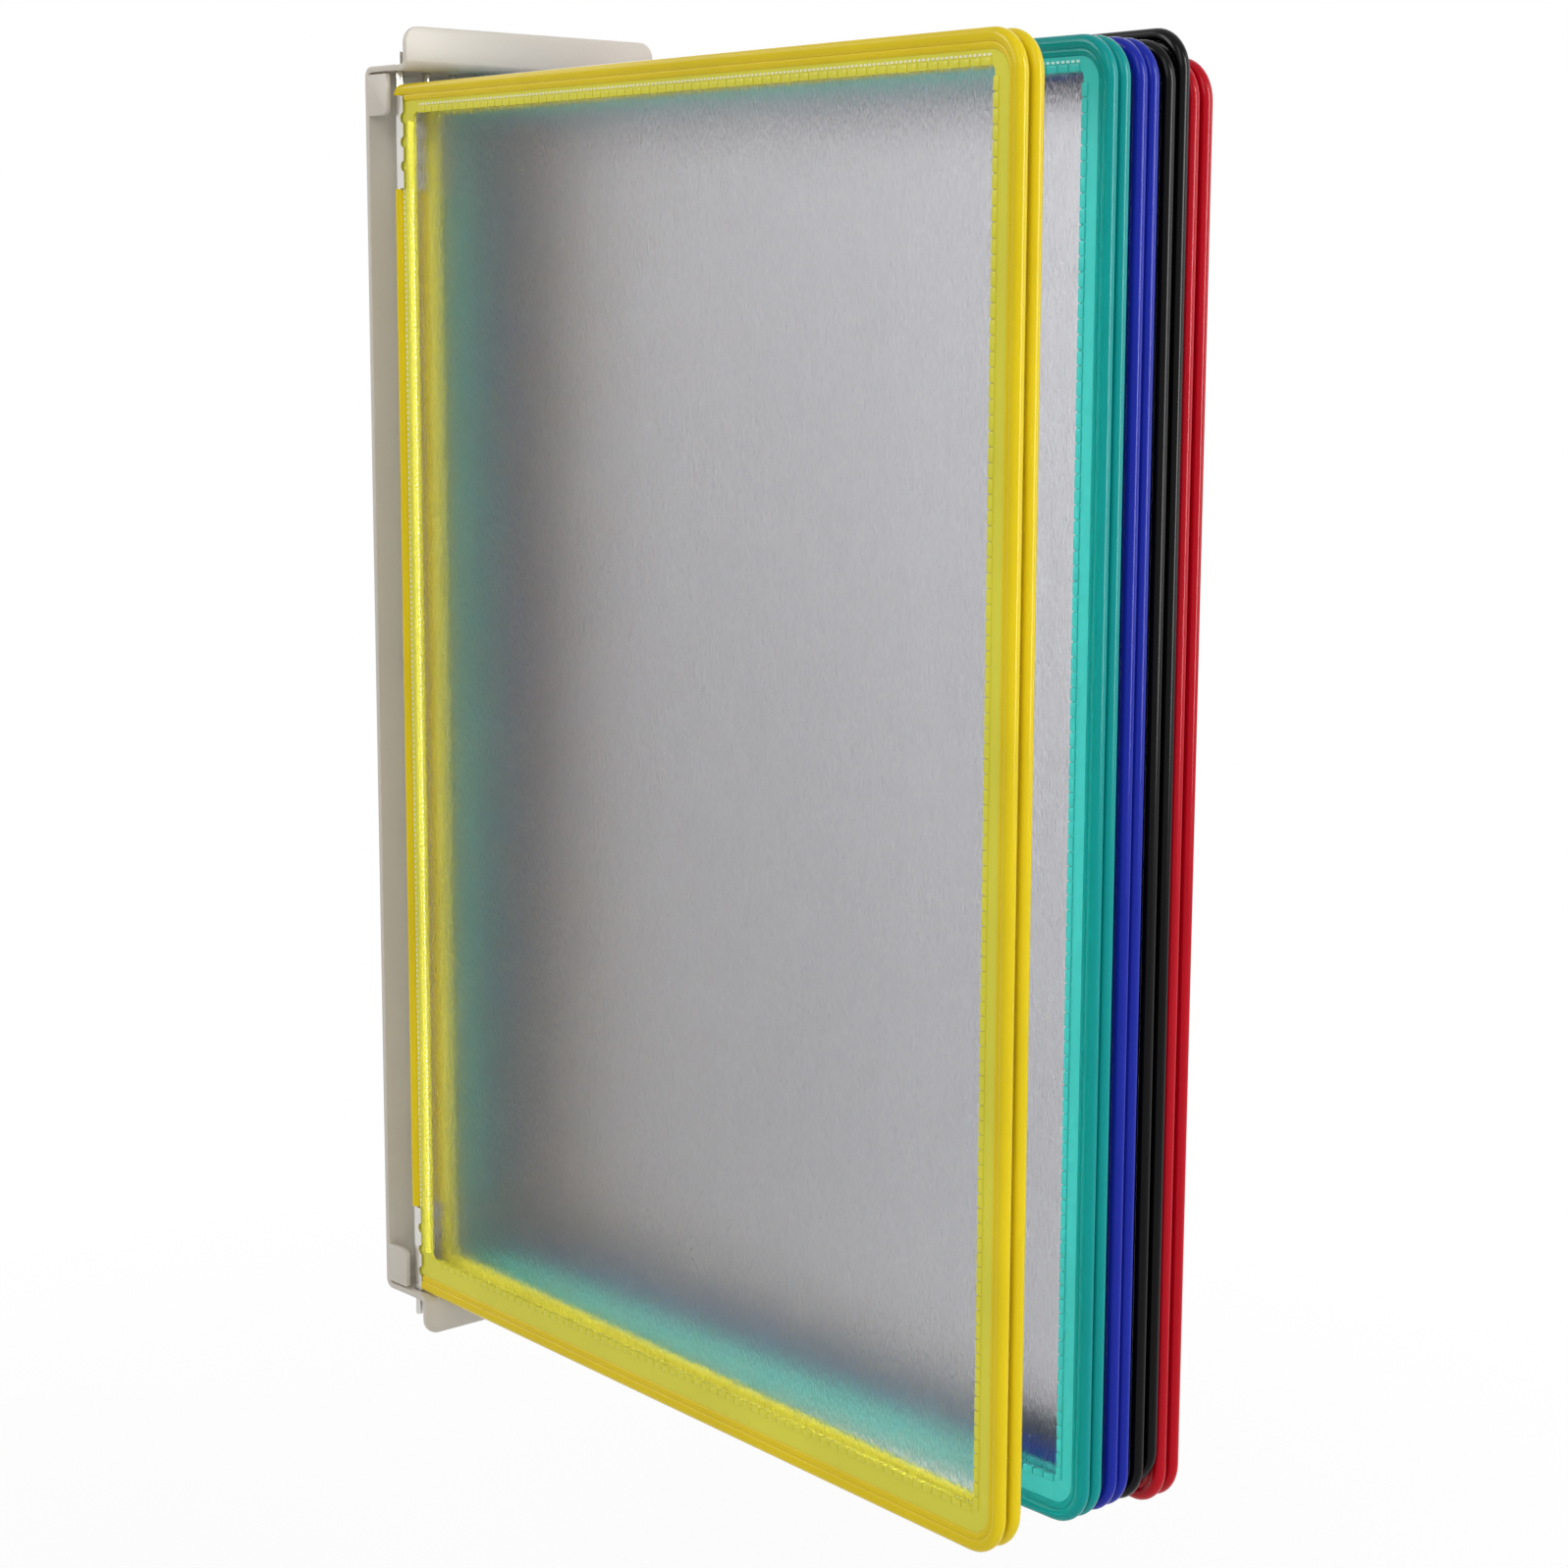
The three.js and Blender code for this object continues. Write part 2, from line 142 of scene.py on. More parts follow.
class Paint(NodeTree):
    """A node material: one Principled shader and the nodes that feed it."""

    def __init__(self, name, **constants):
        self.material = bpy.data.materials.new(name)
        self.material.use_nodes = True
        super().__init__(self.material.node_tree)
        self.shader = self.tree.nodes["Principled BSDF"]
        for socket, value in constants.items():
            self.shader.inputs[socket.replace("_", " ")].default_value = value

    def feed(self, name, signal):
        self.tree.links.new(signal.socket, self.shader.inputs[name])

    def place(self):
        return self.node("ShaderNodeTexCoord", output="Object")

    def noise(self, where, scale, detail=2.0, stretch=(1, 1, 1)):
        there = self.node("ShaderNodeMapping", {}, {"Vector": where, "Scale": stretch})
        return self.node("ShaderNodeTexNoise", {}, {"Vector": there, "Scale": scale, "Detail": detail})

    def blend(self, factor, low, high):
        settings = {"data_type": "RGBA"}
        return self.node("ShaderNodeMix", settings, {0: factor, 6: low, 7: high}, output=2)

    def bump(self, height, distance):
        values = {"Height": height, "Distance": distance, "Strength": 1.0}
        self.feed("Normal", self.node("ShaderNodeBump", {}, values))


def box_between(bm, low, high):
    """Adds a box and returns its vertices."""
    size = Vector(high) - Vector(low)
    middle = (Vector(high) + Vector(low)) / 2
    made = bmesh.ops.create_cube(bm, size=1)["verts"]
    bmesh.ops.scale(bm, vec=size, verts=made)
    bmesh.ops.translate(bm, vec=middle, verts=made)
    return made


def round_edges(bm, edges, radius, segments):
    bmesh.ops.bevel(bm, geom=edges, offset=radius, segments=segments, profile=0.5,
                    affect="EDGES", material=-1)


def round_corners(bm, verts, radius, segments):
    bmesh.ops.bevel(bm, geom=verts, offset=radius, segments=segments, profile=0.5,
                    affect="VERTICES", material=-1)


def add(bm, other):
    """Joins another bmesh into this one."""
    carried = bpy.data.meshes.new("carried")
    other.to_mesh(carried)
    other.free()
    bm.from_mesh(carried)
    bpy.data.meshes.remove(carried)
    return bm


def piece(bm, name, paint, body, slot, *nodes, sharp=40):
    """Makes an object from a bmesh, hangs it on the body it rides on, and hides the nodes it stands for."""
    bmesh.ops.recalc_face_normals(bm, faces=bm.faces)
    mesh = bpy.data.meshes.new(name)
    bm.to_mesh(mesh)
    bm.free()
    mesh.shade_smooth()
    mesh.set_sharp_from_angle(angle=math.radians(sharp))
    mesh.materials.append(paint.material)
    made = bpy.data.objects.new(name, mesh)
    bpy.context.collection.objects.link(made)
    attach(made, body)
    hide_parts(*nodes)


def drilled(bm, cutters):
    """Takes a bmesh of closed cutters away from a closed bmesh and returns what is left."""
    objects = []
    for source in (bm, cutters):
        bmesh.ops.recalc_face_normals(source, faces=source.faces)
        mesh = bpy.data.meshes.new("blank")
        source.to_mesh(mesh)
        source.free()
        objects.append(bpy.data.objects.new("blank", mesh))
        bpy.context.collection.objects.link(objects[-1])
    target, cutter = objects
    modifier = target.modifiers.new("cut", "BOOLEAN")
    modifier.operation = "DIFFERENCE"
    modifier.solver = "EXACT"
    modifier.object = cutter
    left = bmesh.new()
    left.from_object(target, bpy.context.evaluated_depsgraph_get())
    for blank in objects:
        bpy.data.meshes.remove(blank.data)
    return left


SHEET = 0.0015
BEND = 0.001
LIP = 0.00925
LIP_CORNER = 0.004
BEND_STEPS = 6
TAB_HEIGHT = 0.0104
TAB_DEPTH = 0.0094
TAB_GAP = 0.0005
TAB_CORNER = 0.002
TAB_STEPS = 5
TAB_BEND = 0.00135
TAB_BEND_STEPS = 4
EDGE_BREAK = 0.00025
EDGE_STEPS = 2
RIM_ANGLE = math.radians(60)
HOLE_RADIUS = 0.00125
HOLE_SIDES = 24
DRILL_LENGTH = 2.2
TINY = 1e-6

pins = {j["child"]: Vector(j["pos_m"]) for j in frame["joints"]}
bracket_low, bracket_high = (Vector(corner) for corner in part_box("bracket"))
half_width = bracket_high.x
flange = bracket_high.z - LIP
outer_bend = BEND + SHEET
back_face = bracket_high.y
lip_back = bracket_low.y + SHEET

bm = bmesh.new()
start = [bm.verts.new((x, lip_back, bracket_high.z)) for x in (-half_width, half_width)]
strip = [bm.edges.new(start)]


def run(strip, move):
    """Draws the sheet's edge line straight on."""
    made = bmesh.ops.extrude_edge_only(bm, edges=strip)["geom"]
    bmesh.ops.translate(bm, vec=move, verts=[g for g in made if isinstance(g, bmesh.types.BMVert)])
    return [g for g in made if isinstance(g, bmesh.types.BMEdge)
            and abs(g.verts[0].co.x - g.verts[1].co.x) > half_width]


def fold(strip, y, z, angle):
    """Draws the sheet's edge line round a bend."""
    made = bmesh.ops.spin(bm, geom=strip, cent=(0, y, z), axis=(1, 0, 0), angle=angle,
                          steps=BEND_STEPS, use_duplicate=False)["geom_last"]
    return [g for g in made if isinstance(g, bmesh.types.BMEdge)]


quarter = math.pi / 2
strip = run(strip, (0, 0, -(LIP - BEND)))
strip = fold(strip, lip_back + BEND, flange + BEND, quarter)
strip = run(strip, (0, back_face - outer_bend - lip_back - BEND, 0))
strip = fold(strip, back_face - outer_bend, flange - outer_bend, -quarter)
strip = run(strip, (0, 0, -2 * (flange - outer_bend)))
strip = fold(strip, back_face - outer_bend, -flange + outer_bend, -quarter)
strip = run(strip, (0, -(back_face - outer_bend - lip_back - BEND), 0))
strip = fold(strip, lip_back + BEND, -flange - BEND, quarter)
strip = run(strip, (0, 0, -(LIP - BEND)))
bmesh.ops.remove_doubles(bm, verts=bm.verts, dist=TINY)
tips = [v for v in bm.verts if abs(abs(v.co.z) - bracket_high.z) < 10 * TINY]
round_corners(bm, tips, LIP_CORNER, BEND_STEPS)
bmesh.ops.recalc_face_normals(bm, faces=bm.faces)
plate_face = max(bm.faces, key=lambda f: f.calc_area())
if plate_face.normal.y > 0:
    bmesh.ops.reverse_faces(bm, faces=bm.faces)
bmesh.ops.solidify(bm, geom=bm.faces[:], thickness=-SHEET)
bmesh.ops.recalc_face_normals(bm, faces=bm.faces)
rims = [e for e in bm.edges if len(e.link_faces) == 2 and e.calc_face_angle() > RIM_ANGLE]
round_edges(bm, rims, EDGE_BREAK, EDGE_STEPS)

holes = bmesh.new()
for pin in pins.values():
    bmesh.ops.create_cone(holes, cap_ends=True, segments=HOLE_SIDES, radius1=HOLE_RADIUS,
                          radius2=HOLE_RADIUS, depth=DRILL_LENGTH * bracket_high.z,
                          matrix=Matrix.Translation((pin.x, pin.y, 0)))
bm = drilled(bm, holes)

tab_top = flange - SHEET - TAB_GAP
for side in (-1, 1):
    for end in (-1, 1):
        tab = bmesh.new()
        side_face = side * half_width
        far_z = end * (tab_top - TAB_HEIGHT)
        inner, outer = sorted((side * (half_width - SHEET), side_face))
        near, far = sorted((end * tab_top, far_z))
        box_between(tab, (inner, back_face - TAB_DEPTH, near), (outer, back_face, far))
        corner = [e for e in tab.edges if abs(e.verts[0].co.x - e.verts[1].co.x) > SHEET / 2
                  and abs(e.verts[0].co.z - far_z) < TINY and e.verts[0].co.y < back_face - SHEET]
        round_edges(tab, corner, TAB_CORNER, TAB_STEPS)
        fold_line = [e for e in tab.edges
                     if all(abs(v.co.y - back_face) < TINY and abs(v.co.x - side_face) < TINY
                            for v in e.verts)]
        round_edges(tab, fold_line, TAB_BEND, TAB_BEND_STEPS)
        rims = [e for e in tab.edges if e.calc_face_angle() > RIM_ANGLE]
        round_edges(tab, rims, EDGE_BREAK, EDGE_STEPS)
        add(bm, tab)

coat = Paint("grey_beige_powder_coat", Roughness=0.42, Specular_IOR_Level=0.3, Coat_Weight=0.08,
             Coat_Roughness=0.3)
where = coat.place()
cloud = coat.noise(where, 18, 3)
coat.feed("Base Color", coat.blend(cloud, (0.55, 0.505, 0.44, 1), (0.60, 0.555, 0.485, 1)))
coat.feed("Roughness", 0.36 + 0.12 * coat.noise(where, 60, 2))
coat.bump(coat.noise(where, 900, 3), 0.00004)

piece(bm, "folded_bracket", coat, "wall_bracket", "bracket_paint", "bracket", sharp=35)


# Magnets: three sintered ferrite blocks glued to the back plate, dark grey with a ground face.
# The solids have the right shape, so they stay and only take this finish.
ferrite = Paint("ground_ferrite", Metallic=0.0)
where = ferrite.place()
speckle = ferrite.noise(where, 700, 4)
ferrite.feed("Base Color", ferrite.blend(speckle, (0.018, 0.018, 0.02, 1), (0.06, 0.06, 0.065, 1)))
ferrite.feed("Roughness", 0.5 + 0.25 * ferrite.noise(where, 40, 3, stretch=(1, 1, 12)))
ferrite.bump(speckle, 0.00006)
for name in ("magnet_top", "magnet_middle", "magnet_bottom"):
    node = frame["nodes"][name]
    node.data.materials.clear()
    node.data.materials.append(ferrite.material)


# Pocket frames: a spring-steel wire bent into a U and welded to a straight hinge rod, all nickel
# plated. The rod's ends are the pins that turn in the flange holes.
BEAD = 0.0032
WIRE = 0.0021
FREE_CORNER = 0.0095
HINGE_CORNER = 0.004
CORNER_STEPS = 10
ROUND_SIDES = 20
WIRE_SIDES = 12
WIRE_EASE = 0.98
PIN_CHAMFER = 0.0003
CLIP_DROP = 0.003
SAG = {"red_1": -0.003, "red_2": -0.003}

nickel = Paint("nickel_plate", Metallic=1.0)
where = nickel.place()
haze = nickel.noise(where, 120, 3)
nickel.feed("Base Color", nickel.blend(haze, (0.50, 0.49, 0.46, 1), (0.76, 0.74, 0.70, 1)))
nickel.feed("Roughness", 0.16 + 0.16 * nickel.noise(where, 300, 3, stretch=(1, 1, 6)))
nickel.bump(nickel.noise(where, 500, 2), 0.00003)


class Tube:
    """A round section carried along straight runs and quarter turns in the pocket's plane."""

    def __init__(self, radius, start, heading, sides=ROUND_SIDES):
        self.bm = bmesh.new()
        self.at = Vector(start)
        self.heading = Vector(heading)
        facing = self.heading.to_track_quat("Z", "Y").to_matrix().to_4x4()
        made = bmesh.ops.create_circle(self.bm, segments=sides, radius=radius, cap_ends=False,
                                       matrix=Matrix.Translation(self.at) @ facing)
        self.ring = list({e for v in made["verts"] for e in v.link_edges})
        self.close()

    def close(self):
        bmesh.ops.contextual_create(self.bm, geom=self.ring)

    def run(self, length):
        made = bmesh.ops.extrude_edge_only(self.bm, edges=self.ring)["geom"]
        verts = [g for g in made if isinstance(g, bmesh.types.BMVert)]
        bmesh.ops.translate(self.bm, vec=self.heading * length, verts=verts)
        self.ring = [g for g in made if isinstance(g, bmesh.types.BMEdge)
                     and g.verts[0] in verts and g.verts[1] in verts]
        self.at += self.heading * length
        return self

    def turn(self, radius):
        """Turns a quarter in the x-z plane, from up to outwards."""
        side = Matrix.Rotation(quarter, 3, "Y") @ self.heading
        centre = self.at + side * radius
        made = bmesh.ops.spin(self.bm, geom=self.ring, cent=centre, axis=(0, 1, 0),
                              angle=quarter, steps=CORNER_STEPS, use_duplicate=False)
        self.ring = [g for g in made["geom_last"] if isinstance(g, bmesh.types.BMEdge)]
        self.at = centre + self.heading * radius
        self.heading = side
        return self

    def done(self):
        self.close()
        return self.bm


class Leaf:
    """Where one pocket stands: its pin, the way it points, and its edges in its own plane."""

    def __init__(self, name):
        self.name = name
        low, high = (Vector(corner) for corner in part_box(name + "_sleeve"))
        pin = pins[name]
        out = (low + high) / 2 - pin
        out.z = 0
        out.normalize()
        across = Vector((0, 0, 1)).cross(out)
        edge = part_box(name + "_edging")[0][1]
        self.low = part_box(name + "_clip_bottom")[0][2]
        self.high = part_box(name + "_clip_top")[1][2] + CLIP_DROP
        self.rod_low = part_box(name + "_wire")[0][2]
        self.rod_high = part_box(name + "_wire")[1][2]
        self.reach = (pin.y - edge - BEAD / 2) / -out.y + BEAD / 2
        out.z = SAG.get(name, 0) / self.reach
        self.matrix = Matrix((out, across, (0, 0, 1))).transposed().to_4x4()
        self.matrix.translation = (pin.x, pin.y, 0)

    def place(self, bm):
        bmesh.ops.transform(bm, matrix=self.matrix, verts=bm.verts)
        return bm


leaves = [Leaf(name) for name in pins]
for leaf in leaves:
    rod = Tube(WIRE / 2, (0, 0, leaf.rod_low), (0, 0, 1)).run(leaf.rod_high - leaf.rod_low).done()
    ends = [e for e in rod.edges if e.calc_face_angle(0) > RIM_ANGLE]
    round_edges(rod, ends, PIN_CHAMFER, EDGE_STEPS)
    line = leaf.high - BEAD / 2
    foot = HINGE_CORNER - BEAD / 2
    bend = FREE_CORNER - BEAD / 2
    across = leaf.reach - BEAD / 2 - foot - bend
    upright = leaf.high - leaf.low - BEAD - 2 * bend
    wire = Tube(WIRE / 2 * WIRE_EASE, (0, 0, line - 2 * foot), (0, 0, 1), WIRE_SIDES)
    wire.run(foot).turn(foot).run(across).turn(bend).run(upright).turn(bend).run(across)
    wire.turn(foot).run(foot)
    add(rod, wire.done())
    piece(leaf.place(rod), leaf.name + "_frame", nickel, leaf.name, "nickel_steel", leaf.name + "_wire")


# Hinge clips: nickel-plated steel strip folded round the hinge rod, which grips the ends of the
# wire. Three half-round notches in each free edge let the vinyl bite.
CLIP_HEIGHT = 0.023
CLIP_SHEET = 0.0005
CLIP_INSIDE = 0.0012
CLIP_REACH = 0.003
CLIP_STEPS = 14
NOTCH_RADIUS = 0.0013
NOTCH_SIDES = 20
NOTCH_PITCH = 0.006
NOTCHES = (-1, 0, 1)


def clip_mesh(low):
    """A strip drawn along one leg, round the rod and along the other leg, then given a thickness."""
    bm = bmesh.new()
    edge = bm.edges.new([bm.verts.new((CLIP_REACH, CLIP_INSIDE, low + z)) for z in (0, CLIP_HEIGHT)])
    made = bmesh.ops.extrude_edge_only(bm, edges=[edge])["geom"]
    verts = [g for g in made if isinstance(g, bmesh.types.BMVert)]
    bmesh.ops.translate(bm, vec=(-CLIP_REACH, 0, 0), verts=verts)
    edge = [g for g in made if isinstance(g, bmesh.types.BMEdge) and set(g.verts) == set(verts)]
    made = bmesh.ops.spin(bm, geom=edge, cent=(0, 0, 0), axis=(0, 0, 1), angle=math.pi,
                          steps=CLIP_STEPS, use_duplicate=False)["geom_last"]
    edge = [g for g in made if isinstance(g, bmesh.types.BMEdge)]
    made = bmesh.ops.extrude_edge_only(bm, edges=edge)["geom"]
    verts = [g for g in made if isinstance(g, bmesh.types.BMVert)]
    bmesh.ops.translate(bm, vec=(CLIP_REACH, 0, 0), verts=verts)
    bmesh.ops.remove_doubles(bm, verts=bm.verts, dist=TINY)
    bmesh.ops.recalc_face_normals(bm, faces=bm.faces)
    leg = max(bm.faces, key=lambda f: f.calc_center_median().y)
    if leg.normal.y > 0:
        bmesh.ops.reverse_faces(bm, faces=bm.faces)
    bmesh.ops.solidify(bm, geom=bm.faces[:], thickness=-CLIP_SHEET)
    return bm


for leaf in leaves:
    spots = (("clip_top", leaf.high - CLIP_DROP - CLIP_HEIGHT), ("clip_bottom", leaf.low))
    for kind, low in spots:
        name = leaf.name + "_" + kind
        notches = bmesh.new()
        for step in NOTCHES:
            level = low + CLIP_HEIGHT / 2 + step * NOTCH_PITCH
            spot = Matrix.Translation((CLIP_REACH, 0, level)) @ Matrix.Rotation(quarter, 4, "X")
            bmesh.ops.create_cone(notches, cap_ends=True, segments=NOTCH_SIDES, radius1=NOTCH_RADIUS,
                                  radius2=NOTCH_RADIUS, depth=8 * CLIP_INSIDE, matrix=spot)
        clip = leaf.place(drilled(clip_mesh(low), notches))
        piece(clip, name + "_folded", nickel, leaf.name, "nickel_steel", name, sharp=30)


# Edgings: soft coloured vinyl, moulded as a round bead over the wire with a thin flat band along
# its inner side. The band is translucent, and the film is welded to it in a row of short cells.
HINGE_BAND = 0.0037
FREE_BAND = 0.0054
TOP_BAND = 0.004
BOTTOM_BAND = 0.0067
BAND_THICK = 0.001
RIDGE = 0.0022
RIDGE_INSET = 0.0034
CLIP_CLEAR = 0.00015
CELL_PITCH = 0.00315
CELL_WIDTH = 0.0016
CELL_LENGTH = 0.0029
CELL_HEIGHT = 0.0003
CELL_PROUD = 0.0003
CELL_ROUND = 0.0002
WINDOW_CORNER = 0.0015
SPECK_PITCH = 0.0014
SPECK_WIDTH = 0.0005
SPECK_LENGTH = 0.0008
SPECK_HEIGHT = 0.0001
VINYL = {
    "yellow": ((0.74, 0.56, 0.008), (0.70, 0.66, 0.06), (0.86, 0.85, 0.60)),
    "green": ((0.001, 0.28, 0.27), (0.05, 0.52, 0.50), (0.60, 0.86, 0.84)),
    "blue": ((0.008, 0.020, 0.33), (0.02, 0.05, 0.45), (0.55, 0.60, 0.85)),
    "black": ((0.002, 0.002, 0.002), (0.006, 0.005, 0.005), (0.35, 0.35, 0.35)),
    "red": ((0.45, 0.001, 0.010), (0.52, 0.01, 0.03), (0.85, 0.55, 0.58)),
}


def opaque(colour, share):
    """A colour taken by a share, with full opacity."""
    return tuple(c * share for c in colour) + (1,)


def vinyl_paint(name, colour, gloss):
    """Soft vinyl: a clear, even colour under a smooth skin."""
    paint = Paint(name, Specular_IOR_Level=0.12)
    where = paint.place()
    tone = paint.blend(paint.noise(where, 35, 2), opaque(colour, 0.88), opaque(colour, 1.08))
    paint.feed("Base Color", tone)
    paint.feed("Roughness", gloss + 0.08 * paint.noise(where, 60, 2))
    paint.bump(paint.noise(where, 45, 1, stretch=(1, 1, 0.3)), 0.00006)
    return paint


bead_vinyl = {name: vinyl_paint(name + "_bead_vinyl", tones[0], 0.12) for name, tones in VINYL.items()}
band_vinyl = {name: vinyl_paint(name + "_band_vinyl", tones[1], 0.24) for name, tones in VINYL.items()}
speck_vinyl = {name: vinyl_paint(name + "_speck_vinyl", tones[2], 0.30) for name, tones in VINYL.items()}


def window(leaf, lap=0.0):
    """The window's low and high corners in the pocket's plane, moved outwards by a lap."""
    low = (BEAD + HINGE_BAND - lap, leaf.low + BEAD + BOTTOM_BAND - lap)
    high = (leaf.reach - BEAD - FREE_BAND + lap, leaf.high - BEAD - TOP_BAND + lap)
    return low, high


def rectangle(bm, low, high):
    """Four corners in the pocket's plane, joined by edges."""
    spots = ((low[0], low[1]), (high[0], low[1]), (high[0], high[1]), (low[0], high[1]))
    verts = [bm.verts.new((x, 0, z)) for x, z in spots]
    return [bm.edges.new((verts[i], verts[i - 1])) for i in range(4)]


def band_mesh(leaf):
    """The flat band: two rectangles bridged, their corners rounded, then given a thickness."""
    bm = bmesh.new()
    under = BEAD / 2
    outside = rectangle(bm, (under, leaf.low + under), (leaf.reach - under, leaf.high - under))
    inside = rectangle(bm, *window(leaf))
    rim = [v for e in outside for v in e.verts if v.co.x > leaf.reach / 2]
    hole = [v for e in inside for v in e.verts]
    bmesh.ops.bridge_loops(bm, edges=outside + inside)
    round_corners(bm, list(set(rim)), FREE_CORNER - under, CORNER_STEPS)
    round_corners(bm, [v for v in set(hole) if v.is_valid], WINDOW_CORNER, CORNER_STEPS // 2)
    bmesh.ops.recalc_face_normals(bm, faces=bm.faces)
    made = bmesh.ops.extrude_face_region(bm, geom=bm.faces[:])["geom"]
    lifted = [g for g in made if isinstance(g, bmesh.types.BMVert)]
    bmesh.ops.translate(bm, vec=(0, BAND_THICK, 0), verts=lifted)
    bmesh.ops.translate(bm, vec=(0, -BAND_THICK / 2, 0), verts=bm.verts)
    return bm


def weld_row(bm, start, along, length, pitch, size):
    """A row of raised cells, standing out of both faces of the band."""
    count = int(length / pitch)
    for i in range(count):
        spot = Vector(start) + Vector(along) * (i + 0.5) * length / count
        half = Vector((size[0] if along[0] else size[1], size[2], size[1] if along[0] else size[0])) / 2
        box_between(bm, spot - half, spot + half)


def welds_mesh(leaf):
    """The film's welds: a row of raised cells along three inner edges of the band."""
    bm = bmesh.new()
    (_, low), (right, high) = window(leaf, CELL_WIDTH / 2 - CELL_PROUD)
    wide = leaf.reach - 2 * FREE_CORNER
    tall = leaf.high - leaf.low - 2 * FREE_CORNER
    cell = (CELL_LENGTH, CELL_WIDTH, BAND_THICK + 2 * CELL_HEIGHT)
    weld_row(bm, (FREE_CORNER, 0, high), (1, 0, 0), wide, CELL_PITCH, cell)
    weld_row(bm, (FREE_CORNER, 0, low), (1, 0, 0), wide, CELL_PITCH, cell)
    weld_row(bm, (right, 0, leaf.low + FREE_CORNER), (0, 0, 1), tall, CELL_PITCH, cell)
    round_edges(bm, bm.edges[:], CELL_ROUND, 2)
    return bm


def specks_mesh(leaf):
    """The weld's fine white dots: one row along the top, and two along the hinge-side band."""
    bm = bmesh.new()
    high = window(leaf, CELL_WIDTH - CELL_PROUD + SPECK_WIDTH)[1][1]
    wide = leaf.reach - 2 * FREE_CORNER
    tall = leaf.high - leaf.low - 2 * CLIP_HEIGHT - CLIP_DROP
    speck = (SPECK_LENGTH, SPECK_WIDTH, BAND_THICK + 2 * SPECK_HEIGHT)
    weld_row(bm, (FREE_CORNER, 0, high), (1, 0, 0), wide, SPECK_PITCH, speck)
    for x in (BEAD / 2 + SPECK_WIDTH, BEAD + HINGE_BAND - SPECK_WIDTH):
        weld_row(bm, (x, 0, leaf.low + CLIP_HEIGHT), (0, 0, 1), tall, SPECK_PITCH, speck)
    return bm


for leaf in leaves:
    colour = leaf.name.split("_")[0]
    slot = colour + "_vinyl"
    clip_low = leaf.high - CLIP_DROP - CLIP_HEIGHT
    start = leaf.high - CLIP_DROP + CLIP_CLEAR
    foot = leaf.high - start - BEAD / 2
    bend = FREE_CORNER - BEAD / 2
    over = leaf.reach - BEAD / 2 - foot - bend
    upright = leaf.high - leaf.low - BEAD - 2 * bend
    under = leaf.reach - BEAD / 2 - bend - CLIP_REACH - CLIP_CLEAR
    tube = Tube(BEAD / 2, (0, 0, start), (0, 0, 1))
    tube.turn(foot).run(over).turn(bend).run(upright).turn(bend).run(under)
    bead = tube.done()
    low = leaf.low + CLIP_HEIGHT + CLIP_CLEAR
    add(bead, Tube(BEAD / 2, (0, 0, low), (0, 0, 1)).run(clip_low - CLIP_CLEAR - low).done())
    bend = FREE_CORNER - RIDGE_INSET
    ridge = Tube(RIDGE / 2, (BEAD, 0, leaf.high - RIDGE_INSET), (1, 0, 0))
    ridge.run(leaf.reach - FREE_CORNER - BEAD).turn(bend).run(leaf.high - leaf.low - 2 * FREE_CORNER)
    add(bead, ridge.turn(bend).run(leaf.reach - FREE_CORNER - BEAD).done())
    piece(leaf.place(bead), leaf.name + "_bead", bead_vinyl[colour], leaf.name, slot,
          leaf.name + "_edging")
    band = add(band_mesh(leaf), welds_mesh(leaf))
    piece(leaf.place(band), leaf.name + "_band", band_vinyl[colour], leaf.name, slot,
          leaf.name + "_edging", sharp=30)
    piece(leaf.place(specks_mesh(leaf)), leaf.name + "_specks", speck_vinyl[colour], leaf.name, slot,
          leaf.name + "_edging", sharp=30)


# Pockets: clear vinyl film with a fine embossed grain that keeps off glare, welded on three sides
# and open along the hinge, where its mouth stands a little off the band. Each film is a thin sheet;
# the two pockets of a colour face away from each other, as they hang.
FILM_LAP = 0.0008
FILM_SLACK = 0.0005
FILM_COLUMNS = 90
FILM_ROWS = 120
FILM_CROWDING = 1.5
MOUTH_LAP = 0.0026
MOUTH_WIDTH = 0.009
MOUTH_LIFT = 0.0011
MOUTH_WAVE = 0.0009
MOUTH_END = 0.045
MOUTH_RIPPLE = 0.007
MOUTH_TUCK = 0.006
GRAIN_SCALE = 2200
GRAIN_STRETCH = (1, 1, 0.25)
GRAIN_CONTRAST = 3.0
GRAIN_DEPTH = 0.0015

film = Paint("embossed_clear_film", Transmission_Weight=0.995, Roughness=0.46, IOR=1.12,
             Specular_IOR_Level=0.5)
where = film.place()
grain = film.noise(where, GRAIN_SCALE, 1, stretch=GRAIN_STRETCH)
streaks = ((grain - 0.5) * GRAIN_CONTRAST + 0.5).clamp()
film.feed("Base Color", film.blend(streaks, (0.93, 0.93, 0.955, 1), (1, 1, 1, 1)))
film.bump(grain, GRAIN_DEPTH)


def smooth(t):
    """Rises gently from nought to one."""
    t = min(max(t, 0), 1)
    return t * t * (3 - 2 * t)


